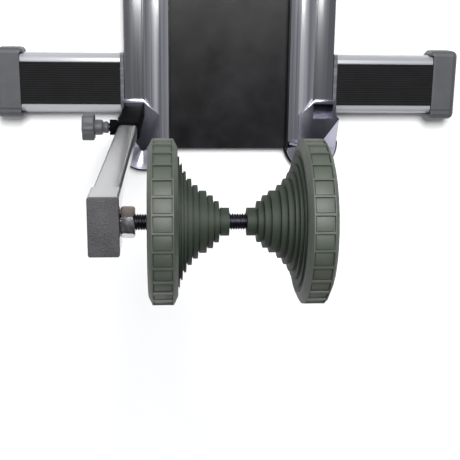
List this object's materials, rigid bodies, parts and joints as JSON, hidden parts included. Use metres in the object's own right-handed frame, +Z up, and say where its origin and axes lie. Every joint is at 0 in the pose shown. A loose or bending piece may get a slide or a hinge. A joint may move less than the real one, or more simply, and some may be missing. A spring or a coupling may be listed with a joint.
{
  "type": "bike parking stand",
  "caption": "Floor stand that holds a bicycle wheel upright between stepped cones on a rod, carried by a telescopic post beside a wheel channel.",
  "frame": {"origin": "on the floor, below the middle of the whole stand's box", "axes": "+X to the right along the rod, +Y towards the front beam, +Z up"},
  "size_m": [0.524, 0.37, 0.568],
  "materials": {
    "rail_paint": "gloss grey paint on steel section",
    "black_paint": "gloss black powder coat",
    "post_paint": "gloss black paint on flat steel tube",
    "casting_paint": "gloss black paint on a casting",
    "black_plastic": "moulded black plastic",
    "cap_plastic": "textured dark grey plastic",
    "rubber": "black rubber",
    "zinc": "bright zinc plate",
    "black_oxide": "black oxide",
    "green_plastic": "moulded army green plastic with a fine grain",
    "brass": "turned brass"
  },
  "bodies": {
    "base": {"rail_left": "rail_paint", "rear_foot_left": "casting_paint", "foot_pad_left": "rubber", "wing_left": "black_paint", "wing_flange_left": "black_paint", "tread_mat_left": "rubber", "wing_cap_left": "black_plastic", "front_cap_left": "black_plastic", "rail_right": "rail_paint", "rear_foot_right": "casting_paint", "foot_pad_right": "rubber", "wing_right": "black_paint", "wing_flange_right": "black_paint", "tread_mat_right": "rubber", "wing_cap_right": "black_plastic", "front_cap_right": "black_plastic", "cross_bar_rear": "black_paint", "cross_bar_front": "black_paint", "wheel_tray": "black_paint", "front_beam": "rail_paint", "sleeve_bush": "black_plastic", "post_sleeve": "black_paint", "clamp_boss": "black_paint"},
    "clamp_pad": {"clamp_pad": "brass"},
    "knob": {"clamp_knob": "black_plastic", "knob_stud": "black_oxide"},
    "post": {"post_tube": "post_paint", "post_plug": "black_plastic", "post_head": "post_paint", "head_cap": "cap_plastic", "threaded_rod": "black_oxide", "lock_nut": "zinc", "inner_nut": "zinc", "rod_cap": "black_plastic"},
    "left_insert": {"insert_left": "brass"},
    "left_cone": {"cone_left": "green_plastic"},
    "right_insert": {"insert_right": "brass"},
    "right_cone": {"cone_right": "green_plastic"}
  },
  "joints": [
    {"name": "post_slide", "type": "slide", "parent": "base", "child": "post", "axis": [0, 0, 1], "range_m": [-0.075, 0.06]},
    {"name": "pad_slide", "type": "slide", "parent": "base", "child": "clamp_pad", "axis": [1, 0, 0], "range_m": [-0.00187, 0]},
    {"name": "knob_turn", "type": "hinge", "parent": "clamp_pad", "child": "knob", "pos_m": [-0.135, -0.114, 0.175], "axis": [1, 0, 0], "range_deg": [-540, 0]},
    {"name": "left_cone_slide", "type": "slide", "parent": "post", "child": "left_insert", "axis": [1, 0, 0], "range_m": [-0.0075, 0.0057]},
    {"name": "left_cone_turn", "type": "hinge", "parent": "left_insert", "child": "left_cone", "pos_m": [-0.0275, -0.1249, 0.518], "axis": [1, 0, 0], "range_deg": [-1800, 1368]},
    {"name": "right_cone_slide", "type": "slide", "parent": "post", "child": "right_insert", "axis": [1, 0, 0], "range_m": [-0.0044, 0.003]},
    {"name": "right_cone_turn", "type": "hinge", "parent": "right_insert", "child": "right_cone", "pos_m": [-0.0275, -0.1249, 0.518], "axis": [1, 0, 0], "range_deg": [-1056, 720]}
  ],
  "couplings": [
    {"joint": "knob_turn", "follows": "pad_slide", "rad_per_m": 5026.5},
    {"joint": "left_cone_turn", "follows": "left_cone_slide", "rad_per_m": 4188.8},
    {"joint": "right_cone_turn", "follows": "right_cone_slide", "rad_per_m": 4188.8}
  ]
}
